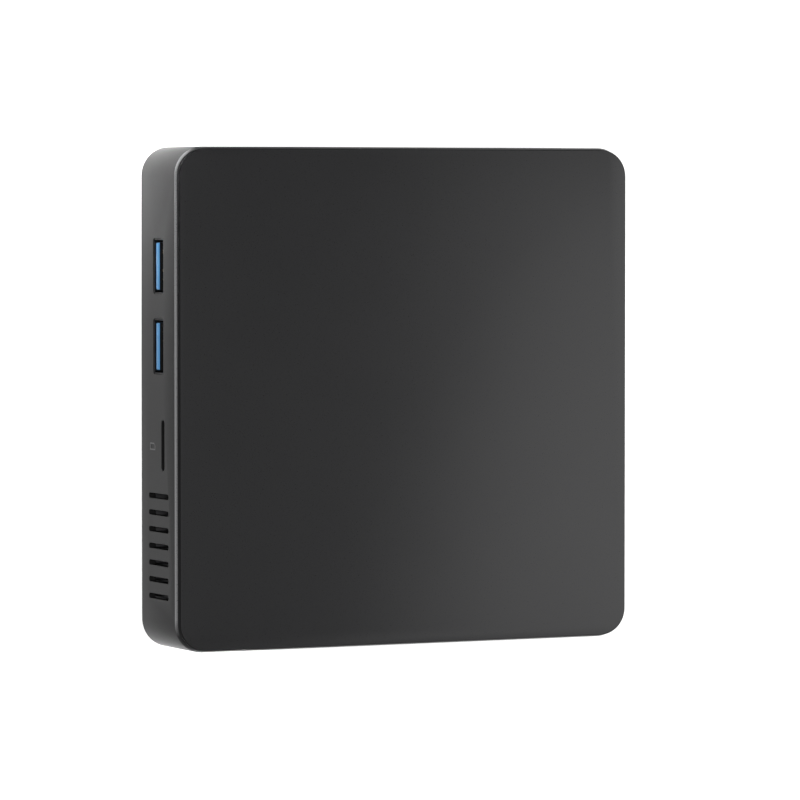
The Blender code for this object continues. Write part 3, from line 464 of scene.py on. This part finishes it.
class Nodes:
    """A material's nodes, added one at a time."""

    def __init__(self, name):
        self.material = bpy.data.materials.new(name)
        self.material.use_nodes = True
        self.tree = self.material.node_tree
        self.shader = self.tree.nodes["Principled BSDF"]
        place = self.tree.nodes.new("ShaderNodeTexCoord")
        self.place = place.outputs["Object"]

    def link(self, source, socket):
        self.tree.links.new(source, socket)

    def set(self, name, source):
        self.link(source, self.shader.inputs[name])

    def noise(self, scale, detail=3):
        """Noise whose features are about 1/scale metres wide."""
        node = self.tree.nodes.new("ShaderNodeTexNoise")
        for name, value in (("Scale", scale), ("Detail", detail), ("Roughness", 0.55)):
            node.inputs[name].default_value = value
        self.link(self.place, node.inputs["Vector"])
        return node.outputs["Fac"]

    def ranged(self, source, low, high, start=SPREAD[0], end=SPREAD[1]):
        """Maps a value from start and end to low and high, and holds it within them."""
        node = self.tree.nodes.new("ShaderNodeMapRange")
        for name, value in (("From Min", start), ("From Max", end), ("To Min", low), ("To Max", high)):
            node.inputs[name].default_value = value
        self.link(source, node.inputs["Value"])
        return node.outputs["Result"]

    def along(self, axis):
        """How far a point lies along the world's X, Y or Z, in metres."""
        node = self.tree.nodes.new("ShaderNodeSeparateXYZ")
        self.link(self.place, node.inputs["Vector"])
        return node.outputs[axis]

    def product(self, first, second):
        node = self.tree.nodes.new("ShaderNodeMath")
        node.operation = "MULTIPLY"
        self.link(first, node.inputs[0])
        self.link(second, node.inputs[1])
        return node.outputs["Value"]

    def mixed(self, factor, first, second):
        node = self.tree.nodes.new("ShaderNodeMix")
        node.data_type = "RGBA"
        node.inputs["A"].default_value = (*first, 1)
        node.inputs["B"].default_value = (*second, 1)
        self.link(factor, node.inputs["Factor"])
        return node.outputs["Result"]

    def bump(self, source, height, strength, after=None):
        """A normal from a height of up to that many millimetres, on top of the normal after."""
        node = self.tree.nodes.new("ShaderNodeBump")
        node.inputs["Distance"].default_value = height * MM
        node.inputs["Strength"].default_value = strength
        self.link(source, node.inputs["Height"])
        if after:
            self.link(after, node.inputs["Normal"])
        return node.outputs["Normal"]


def make_finish(name, colour, other, rough, metallic, grain, height, patches, specular):
    """A finish with broad patches of colour, and a fine grain that varies its roughness and height."""
    nodes = Nodes(name)
    broad = nodes.noise(patches, 4)
    fine = nodes.noise(grain)
    nodes.set("Base Color", nodes.mixed(nodes.ranged(broad, 0, 1), colour, other))
    nodes.set("Roughness", nodes.ranged(fine, *rough))
    nodes.shader.inputs["Metallic"].default_value = metallic
    if specular is not None:
        nodes.shader.inputs["Specular IOR Level"].default_value = specular
    wear = nodes.bump(broad, height * 0.5, PATCH_STRENGTH)
    nodes.set("Normal", nodes.bump(fine, height, GRAIN_STRENGTH, wear))
    return nodes.material


def make_rim_painted_highlight_and_shade():
    """The cut rim, one metal with a painted highlight along the wall with the blue sockets and painted shade
    elsewhere.
    """
    nodes = Nodes("rim_painted_highlight_and_shade")
    beside = nodes.ranged(nodes.along("X"), 0, 1, *RIM_HIGHLIGHT_FADE_X)
    before_corner = nodes.ranged(nodes.along("Y"), 1, 0, *RIM_HIGHLIGHT_FADE_Y)
    highlight_mask = nodes.product(beside, before_corner)
    fine = nodes.noise(RIM_GRAIN)
    nodes.set("Base Color", nodes.mixed(highlight_mask, RIM_PAINTED_SHADE, RIM_PAINTED_HIGHLIGHT))
    nodes.set("Roughness", nodes.ranged(fine, *RIM_ROUGH))
    nodes.shader.inputs["Metallic"].default_value = 1
    nodes.set("Normal", nodes.bump(fine, RIM_GRAIN_HEIGHT, GRAIN_STRENGTH))
    return nodes.material


def make_finishes():
    looks = {key: make_finish(*values, SPECULAR.get(key)) for key, values in FINISHES.items()}
    # The rim's finish is a painted highlight and painted shade
    looks["rim"] = make_rim_painted_highlight_and_shade()
    return looks


# The casing


def vents(side):
    slot = slot_of(*VENT_SIZE, along_u=False)
    places = [(VENT_FIRST + k * VENT_PITCH, FRONT_Z) for k in range(VENTS)]
    return [mouth(slot, "X", side, at, VENT_EDGE) for at in places]


def usb_mouths(kind, side):
    slot = slot_of(*USB_MOUTH)
    middles = [middle(f"{kind}_{k}_shell") for k in (1, 2)]
    return [mouth(slot, "X", side, (centre.y, centre.z), USB_MOUTH_EDGE) for centre in middles]


def side_openings():
    """The openings in the two walls across X."""
    cuts = usb_mouths("usb3", 1) + usb_mouths("usb2", -1) + vents(1) + vents(-1)
    cuts.append(mouth(slot_of(*CARD_SLOT), "X", 1, (middle("card_socket").y, CARD_Z)))
    cuts.append(mouth(disc_of(AUDIO_MOUTH), "X", -1, (middle("audio_jack").y, AUDIO_Z)))
    cuts.append(mouth(slot_of(*LOCK_SLOT), "X", -1, (LOCK_Y, AUDIO_Z), LOCK_EDGE))
    return cuts


def end_openings():
    """The openings in the two walls across Y."""
    inlet_at = (middle("power_inlet").x, middle("power_inlet_pin").z)
    cuts = [mouth(disc_of(INLET_MOUTH), "Y", 1, inlet_at)]
    for name in ("hdmi_1_shell", "hdmi_2_shell"):
        cuts.append(mouth(video_of(*VIDEO_MOUTH), "Y", 1, (middle(name).x, middle(name).z)))
    lan, size = middle("lan_socket"), extent("lan_socket")
    slot = slot_of(size.x + LAN_PLAY, size.z + LAN_PLAY, LAN_CORNER)
    cuts.append(mouth(slot, "Y", 1, (lan.x, lan.z)))
    cuts.append(mouth(disc_of(BUTTON_MOUTH), "Y", -1, (middle("power_button").x, FRONT_Z)))
    cuts.append(mouth(disc_of(LIGHT_MOUTH), "Y", -1, (middle("light_pipe").x, FRONT_Z)))
    return cuts


def dress_frame(looks, frame_wall):
    """Gives the chamfer round the lid the rim's painted highlight and shade, and the inside of every opening
    a black finish of painted shade.
    """
    frame_wall.data.materials.append(looks["rim"])
    frame_wall.data.materials.append(looks["bore"])
    for face in frame_wall.data.polygons:
        x, y, z = (abs(c) / MM for c in face.center)
        in_opening = INNER - 0.01 < max(x, y) < HALF - PAINTED_SHADE_DEPTH and min(x, y) < HALF - CORNER
        # The chamfer takes the rim's painted highlight and shade, and an opening's inside takes the painted
        # shade
        if z > Z_RIM - RIM_BAND and RIM_SLOPES[0] < face.normal.z < RIM_SLOPES[1]:
            face.material_index = 1
        elif in_opening and Z_BASE + BASE_PLATE < z < Z_RIM - 1:
            face.material_index = 2


def make_side_frame(looks):
    rim = Z_RIM - RIM_LOWERED
    ledge = Z_BASE + BASE_PLATE + SEAM
    profile = [(inset, Z_BASE + rise) for inset, rise in quarter(BASE_FILLET)]
    profile += [
        (0, rim - RIM_DROP - RIM_SOFT),
        (RIM_SOFT * 0.4, rim - RIM_DROP + RIM_SOFT * 0.4),
        (CHAMFER - RIM_SOFT * 0.4, rim - RIM_SOFT * 0.4),
        (CHAMFER + RIM_SOFT, rim),
        (WALL, rim),
        (WALL, ledge),
        (BASE_RIM, ledge),
        (BASE_RIM, Z_BASE),
    ]
    wall = loft([casing_loop(inset, z) for inset, z in profile], ring=True)
    cuts = side_openings() + end_openings()
    back, hollow_back, recess_back, face = (HALF - depth for depth in MARK_DEPTHS)
    cuts.append(prism(card_outline(MARK_GAP), recess_back, HALF + PAST, "X", MARK_AT))
    frame_wall = piece(
        "frame_wall", looks["wall"], wall, cut=cuts, replaces=["side_frame"], angle=35
    )
    dress_frame(looks, frame_wall)
    mark = prism(card_outline(0), back, face, "X", MARK_AT)
    hollow = prism(card_outline(-MARK_STROKE), hollow_back, HALF + PAST, "X", MARK_AT)
    piece("card_mark", looks["mark"], mark, cut=[hollow])


def make_lid(looks):
    steps = 24
    low = Z_RIM + SEAM
    loops = [casing_loop(LID_INSET + 0.05, low, steps), casing_loop(LID_INSET, low + 0.05, steps)]
    for inset, rise in reversed(quarter(LID_EDGE, 4)):
        loops.append(casing_loop(LID_INSET + inset, Z_TOP - rise, steps))
    near, far = WALL + SEAM, WALL + SEAM + LIP_WIDTH
    bottom, top = low - LIP_DEPTH, low + LIP_OVERLAP
    lip = [(near, bottom), (far, bottom), (far, top), (near, top)]
    skirt = loft([casing_loop(inset, z) for inset, z in lip], ring=True)
    lid = piece(
        "lid_plate", looks["lid"], loft(loops), [skirt], replaces=["top_cover"], angle=40
    )
    # Painted shade: the lid's sides and edge fillet take the darker copy of its colour
    lid.data.materials.append(looks["lid_side_painted_shade"])
    for face in lid.data.polygons:
        if face.normal.z < 0.99:
            face.material_index = 1


def make_feet(looks):
    for name in ("foot_front_left", "foot_front_right", "foot_rear_left", "foot_rear_right"):
        centre, size = middle(name), extent(name)
        radius = size.x / 2
        levels = [(disc(radius - inset), rise) for inset, rise in FOOT_HOLLOW]
        for t in (0, *ROUND):
            outer = radius - FOOT_FILLET + FOOT_FILLET * math.sin(t)
            levels.append((disc(outer), FOOT_FILLET - FOOT_FILLET * math.cos(t)))
        levels.append((disc(radius), size.z))
        pad = stack(levels, "Z", (centre.x, centre.y))
        piece(f"{name}_pad", looks["rubber"], pad, replaces=[name])


# Sockets


def make_usb(looks, name, side, colour):
    """A USB socket: a folded sheet shell with its springs, and a tongue with its contacts."""
    low, high = box_of(f"{name}_shell")
    centre, size = (low + high) / 2, high - low
    front, back = (high.x, low.x) if side > 0 else (low.x, high.x)
    at = (centre.y, centre.z)
    lip = side * USB_LIP
    full = rounded(size.y, size.z, USB_CORNER)
    small = rounded(size.y - 0.2, size.z - 0.2, USB_CORNER - 0.1)
    outer = [(full, back), (full, front - lip), (small, front)]
    width, height = size.y - 2 * USB_SHEET, size.z - 2 * USB_SHEET
    hollow = rounded(width, height, USB_HOLLOW_CORNER)
    flared = rounded(width + 2 * USB_FLARE, height + 2 * USB_FLARE, USB_HOLLOW_CORNER + 0.1)
    inside = [(hollow, back - side * PAST), (hollow, front - lip), (flared, front + lip * 0.5)]
    piece(
        f"{name}_cage", looks["nickel"], stack(outer, "X", at), cut=[stack(inside, "X", at)],
        replaces=[f"{name}_shell"],
    )
    x0, x1 = sorted(front - side * reach for reach in USB_SPRING_REACH)
    z0, z1 = (high.z - USB_SHEET - drop for drop in USB_SPRING_DROPS)
    for k, offset in enumerate(USB_SPRINGS, 1):
        y = centre.y + offset
        spring = block(x0, x1, y - USB_SPRING_HALF, y + USB_SPRING_HALF, z0, z1, 0.05)
        piece(f"{name}_spring_{k}", looks["nickel"], spring)
    make_tongue(looks, name, side, colour)


def make_tongue(looks, name, side, colour):
    low, high = box_of(f"{name}_tongue")
    front, back = (high.x, low.x) if side > 0 else (low.x, high.x)
    centre = (low + high) / 2
    width, thick = TONGUE
    z = middle(f"{name}_shell").z - TONGUE_DROP
    top = z + thick / 2
    full, small = rectangle(width, thick), rectangle(width - 2 * TONGUE_BEVEL, thick - 2 * TONGUE_BEVEL)
    body = [(full, back + side * TONGUE_BACK), (full, front - side * TONGUE_BEVEL), (small, front)]
    root_front = back + side * TONGUE_ROOT_DEPTH
    root = prism(rounded(*TONGUE_ROOT), back, root_front, "X", (centre.y, centre.z))
    channels, strips = [], []
    for k in range(USB_CONTACTS):
        y = centre.y + (k - (USB_CONTACTS - 1) / 2) * USB_CONTACT_PITCH
        x0, x1 = sorted(front - side * reach for reach in CHANNEL_REACH)
        channels.append(block(x0, x1, y - CHANNEL_HALF, y + CHANNEL_HALF, top - CHANNEL_DEPTH, z + thick))
        x0, x1 = sorted(front - side * reach for reach in CONTACT_REACH)
        z0, z1 = (top - depth for depth in CONTACT_DEPTHS)
        strips.append(block(x0, x1, y - CONTACT_HALF, y + CONTACT_HALF, z0, z1, 0.03))
    tongue = piece(
        f"{name}_insert", looks[colour], stack(body, "X", (centre.y, z)),
        [root], channels, replaces=[f"{name}_tongue"],
    )
    # Painted shade: the tongue's upper face, inside the socket, takes the black of the openings' painted
    # shade
    tongue.data.materials.append(looks["bore"])
    for face in tongue.data.polygons:
        if face.normal.z > 0.9:
            face.material_index = 1
    for k, strip in enumerate(strips, 1):
        piece(f"{name}_contact_{k}", looks["gold"], strip)


def make_hdmi(looks, name):
    """A video socket: its shell, its tongue and two rows of contacts."""
    low, high = box_of(f"{name}_shell")
    centre, size = (low + high) / 2, high - low
    front, back = high.y, low.y
    at = (centre.x, centre.z)
    outline = video_of(size.x, size.z, VIDEO_CUT)
    inner = video_of(size.x - 2 * VIDEO_SHEET, size.z - 2 * VIDEO_SHEET, VIDEO_CUT - 0.2)
    outer = stack([(outline(0), back), (outline(0), front - 0.12), (outline(-0.1), front)], "Y", at)
    inside = [(inner(0), back - PAST), (inner(0), front - EDGE), (inner(0.2), front + 0.05)]
    piece(
        f"{name}_cage", looks["steel"], outer, cut=[stack(inside, "Y", at)],
        replaces=[f"{name}_shell"],
    )
    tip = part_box(f"{name}_tongue")[1].y / MM
    full = rectangle(*VIDEO_TONGUE)
    small = rectangle(*(length - 2 * VIDEO_BEVEL for length in VIDEO_TONGUE))
    tongue = stack([(full, back + VIDEO_TONGUE_BACK), (full, tip - 0.25), (small, tip)], "Y", at)
    root_back, root_front = (back + reach for reach in VIDEO_ROOT_REACH)
    root = prism(rectangle(*VIDEO_ROOT), root_back, root_front, "Y", at)
    piece(f"{name}_insert", looks["black"], tongue, [root], replaces=[f"{name}_tongue"])
    half = VIDEO_CONTACT_HALF
    for row, count, height in VIDEO_CONTACTS:
        z = centre.z + height
        places = [centre.x + (k - (count - 1) / 2) for k in range(count)]
        top = z + VIDEO_CONTACT_THICK
        strips = [block(x - half, x + half, root_front, tip - 0.5, z, top) for x in places]
        obj = piece(f"{name}_contacts_{row}", looks["gold"], strips[0], strips[1:])
        obj.data.shade_flat()


def make_lan(looks):
    """The network socket: its shield, liner, contacts and two lamps."""
    low, high = box_of("lan_socket")
    centre, front = (low + high) / 2, high.y
    width, height = high.x - low.x, high.z - low.z
    floor, ceiling = low.z + LAN_MOUTH_LOW, low.z + LAN_MOUTH_HIGH
    full = rounded(width, height, 0.25)
    shield = [(full, low.y), (full, front - 0.1), (rounded(width - 0.2, height - 0.2, 0.2), front)]
    x0, x1 = centre.x - LAN_FACE_HALF, centre.x + LAN_FACE_HALF
    face = block(x0, x1, LAN_BACK, front + PAST, low.z + LAN_FACE_RIM, high.z - LAN_FACE_RIM)
    piece(
        "lan_shield", looks["steel"], stack(shield, "Y", (centre.x, centre.z)), cut=[face],
        replaces=["lan_socket"],
    )
    x0, x1 = centre.x - LAN_LINER_HALF, centre.x + LAN_LINER_HALF
    z0, z1 = low.z + LAN_LINER_RIM, high.z - LAN_LINER_RIM
    liner = block(x0, x1, LAN_BACK + 0.1, front - EDGE, z0, z1, 0.1)
    latch = (LAN_LATCH_HALF, low.z + LAN_LATCH_LOW, floor + LAN_LATCH_RISE)
    cuts = [
        block(centre.x - half, centre.x + half, LAN_BACK + 0.9, front + PAST, z0, z1)
        for half, z0, z1 in ((LAN_MOUTH_HALF, floor, ceiling), latch)
    ]
    lamps = {"left": centre.x - LAN_LAMP_X, "right": centre.x + LAN_LAMP_X}
    z0, z1 = (high.z - drop for drop in LAN_LAMP_DROPS)
    y0, y1 = (front - reach for reach in LAN_LAMP_REACH)
    half, play = LAN_LAMP_HALF + LAN_LAMP_PLAY, LAN_LAMP_PLAY
    cuts += [
        block(x - half, x + half, front - PAST, front + PAST, z0 - play, z1 + play) for x in lamps.values()
    ]
    piece("lan_liner", looks["black"], liner, cut=cuts)
    bends = ((LAN_BACK + 1, ceiling - 0.35), (front - 3.2, ceiling - 0.35), (front - 8.5, ceiling - 3.2))
    for k in range(LAN_CONTACTS):
        x = centre.x + (k - (LAN_CONTACTS - 1) / 2) * LAN_CONTACT_PITCH - LAN_WIRE / 2
        left = [(x, y, z) for y, z in bends] + [(x, y, z + LAN_WIRE_THICK) for y, z in bends[::-1]]
        wire = loft([left, [(px + LAN_WIRE, py, pz) for px, py, pz in left]])
        piece(f"lan_contact_{k + 1}", looks["gold"], wire)
    for name, x in lamps.items():
        lens = block(x - LAN_LAMP_HALF, x + LAN_LAMP_HALF, y0, y1, z0, z1, 0.05)
        piece(f"lan_lamp_{name}", looks["light"], lens)


def make_audio(looks):
    """The audio jack: its body with the nose in the wall, and the ring round its bore."""
    low, high = box_of("audio_jack")
    centre = (low + high) / 2
    front = low.x
    at = (centre.y, AUDIO_Z)
    body = block(-INNER + SEAM, high.x, low.y, high.y, low.z, high.z, 0.1)
    tube = nose(AUDIO_NOSE, -INNER + 2, front, -1, "X", at)
    wide = disc(AUDIO_BORE)
    recess = [(wide, front + 0.5), (wide, front + EDGE), (disc(AUDIO_BORE + 2 * EDGE), front - EDGE)]
    bore = prism(disc(AUDIO_HOLE), front - PAST, front + 11, "X", at)
    cuts = [stack(recess, "X", at), bore]
    piece("audio_body", looks["black"], body, [tube], cuts, replaces=["audio_jack"])
    outer = disc(AUDIO_BORE - 0.05)
    ring = [(outer, front + 0.5), (outer, front + 0.2), (disc(AUDIO_BORE - 0.15), front + 0.12)]
    inner = prism(disc(AUDIO_HOLE - 0.02), front + 2, front - PAST, "X", at)
    piece("audio_ring", looks["gold"], stack(ring, "X", at), cut=[inner])


def make_inlet(looks):
    """The power inlet: its body with the nose in the wall, its pin and its sleeve."""
    low, high = box_of("power_inlet")
    centre = (low + high) / 2
    at = (centre.x, middle("power_inlet_pin").z)
    body = block(low.x, high.x, low.y, INNER - SEAM, low.z, high.z, 0.1)
    tube = nose(INLET_NOSE, INNER - 2, high.y, 1, "Y", at)
    wide = disc(INLET_BORE)
    bore = [(wide, high.y - 10), (wide, high.y - 0.3), (disc(INLET_BORE + 0.3), high.y + 0.1)]
    cuts = [stack(bore, "Y", at)]
    piece("inlet_body", looks["black"], body, [tube], cuts, replaces=["power_inlet"])
    low, high = box_of("power_inlet_pin")
    tip = [(disc(1.0), low.y), (disc(1.0), high.y - 0.5), (disc(0.85), high.y - EDGE), (disc(0.5), high.y)]
    piece("inlet_pin", looks["steel"], stack(tip, "Y", at), replaces=["power_inlet_pin"])
    sleeve = prism(disc(SLEEVE_OUTER), low.y + 1, high.y - 1.5, "Y", at)
    hollow = prism(disc(SLEEVE_INNER), low.y, high.y + PAST, "Y", at)
    piece("inlet_sleeve", looks["steel"], sleeve, cut=[hollow])


def make_button(looks):
    """The power button: a dished cap with a flange behind the wall, and the power symbol."""
    front = box_of("power_button")[0].y
    x = middle("power_button").x
    at = (x, FRONT_Z)
    flange, stem = disc(BUTTON_FLANGE), disc(BUTTON_RADIUS)
    cap = [(flange, -INNER + BUTTON_FLANGE_BACK), (flange, -INNER + SEAM)]
    cap += [(stem, -INNER + SEAM), (stem, front + BUTTON_FILLET)]
    for t in ROUND:
        radius = BUTTON_RADIUS - BUTTON_FILLET + BUTTON_FILLET * math.cos(t)
        cap.append((disc(radius), front + BUTTON_FILLET - BUTTON_FILLET * math.sin(t)))
    cap += [(disc(radius), front + depth) for radius, depth in BUTTON_DISH]
    piece(
        "button_cap", looks["wall"], stack(cap, "Y", at), body="button",
        replaces=["power_button"], angle=35,
    )
    near, far = (front + depth for depth in SYMBOL_DEPTH)
    ring = prism(disc(SYMBOL_OUTER), far, near, "Y", at)
    hole = prism(disc(SYMBOL_INNER), front + PAST, front - PAST, "Y", at)
    z0, z1 = (FRONT_Z + height for height in SYMBOL_GAP)
    gap = block(x - SYMBOL_GAP_HALF, x + SYMBOL_GAP_HALF, front - PAST, front + PAST, z0, z1)
    piece("button_ring", looks["print"], ring, cut=[hole, gap], body="button")
    z0, z1 = (FRONT_Z + height for height in SYMBOL_BAR)
    bar = block(x - SYMBOL_BAR_HALF, x + SYMBOL_BAR_HALF, near, far, z0, z1)
    piece("button_bar", looks["print"], bar, body="button")


def make_light(looks):
    front = box_of("light_pipe")[0].y
    tip = [(disc(LIGHT_RADIUS), LIGHT_BACK), (disc(LIGHT_RADIUS), front + LIGHT_DOME)]
    for t in LIGHT_ROUND:
        tip.append((disc(LIGHT_RADIUS * math.cos(t)), front + LIGHT_DOME - LIGHT_DOME * math.sin(t)))
    dome = stack(tip, "Y", (middle("light_pipe").x, FRONT_Z))
    piece("light_tip", looks["light"], dome, replaces=["light_pipe"])


def dress_cad(looks):
    """Gives each CAD node that is shown as it is the finish of its slot."""
    for entry in frame["record"]["subparts"]:
        obj = frame["nodes"][entry["node"]]
        for holder in obj.material_slots:
            holder.material = looks[SLOT_FINISHES[entry["material_slot"]]]


# Floor, light and camera


def make_stage():
    half = FLOOR_HALF
    floor = make_object("floor", block(-half, half, -half, half, -FLOOR_THICK, 0))
    nodes = Nodes("floor_white")
    broad = nodes.noise(FLOOR_PATCHES)
    nodes.set("Base Color", nodes.mixed(nodes.ranged(broad, 0, 1), *FLOOR_COLOURS))
    nodes.set("Roughness", nodes.ranged(broad, *FLOOR_ROUGH))
    nodes.shader.inputs["Specular IOR Level"].default_value = FLOOR_SPECULAR
    floor.data.materials.append(nodes.material)


def make_world(seen, lit):
    """A world that looks white and lights the object with less."""
    world = bpy.data.worlds.new("studio")
    world.use_nodes = True
    tree = world.node_tree
    path = tree.nodes.new("ShaderNodeLightPath")
    strength = tree.nodes.new("ShaderNodeMapRange")
    strength.inputs["To Min"].default_value = lit
    strength.inputs["To Max"].default_value = seen
    tree.links.new(path.outputs["Is Camera Ray"], strength.inputs["Value"])
    background = tree.nodes["Background"]
    background.inputs["Color"].default_value = (1, 1, 1, 1)
    tree.links.new(strength.outputs["Result"], background.inputs["Strength"])
    bpy.context.scene.world = world


def add_light(data, at, towards, power):
    """Adds a light that lights the object but isn't seen by the camera."""
    data.energy = power
    obj = bpy.data.objects.new(data.name, data)
    obj.visible_camera = False
    bpy.context.scene.collection.objects.link(obj)
    direction = Vector(towards) - Vector(at)
    obj.matrix_world = Matrix.Translation(at) @ direction.to_track_quat("-Z", "Y").to_matrix().to_4x4()


def soft_box(name, at, towards, size, radiance, spread):
    data = bpy.data.lights.new(name, "AREA")
    data.shape = "RECTANGLE"
    data.size, data.size_y = size
    data.spread = math.radians(spread)
    add_light(data, at, towards, radiance * math.pi * size[0] * size[1])


def make_lights():
    make_world(WORLD_SEEN, WORLD_LIT)
    key = bpy.data.lights.new("key", "SUN")
    key.angle = math.radians(KEY_ANGLE)
    add_light(key, KEY_FROM, (0, 0, 0), KEY_STRENGTH)
    for name, values in SOFT_BOXES.items():
        soft_box(name, *values)


def make_camera():
    data = bpy.data.cameras.new("camera")
    data.sensor_width = SENSOR
    data.lens = LENS
    data.clip_end = FAR_CLIP
    obj = bpy.data.objects.new("camera", data)
    bpy.context.scene.collection.objects.link(obj)
    turn = Matrix.Identity(4)
    for angle, axis in CAMERA_TURNS:
        turn = turn @ Matrix.Rotation(angle, 4, axis)
    obj.matrix_world = Matrix.Translation(CAMERA_AT) @ turn
    bpy.context.scene.camera = obj
    bpy.context.scene.view_settings.view_transform = "Standard"


def main():
    looks = make_finishes()
    make_side_frame(looks)
    make_lid(looks)
    make_feet(looks)
    for name in ("usb3_1", "usb3_2"):
        make_usb(looks, name, 1, "blue")
    for name in ("usb2_1", "usb2_2"):
        make_usb(looks, name, -1, "black")
    for name in ("hdmi_1", "hdmi_2"):
        make_hdmi(looks, name)
    make_lan(looks)
    make_audio(looks)
    make_inlet(looks)
    make_button(looks)
    make_light(looks)
    dress_cad(looks)
    make_stage()
    make_lights()
    make_camera()


main()
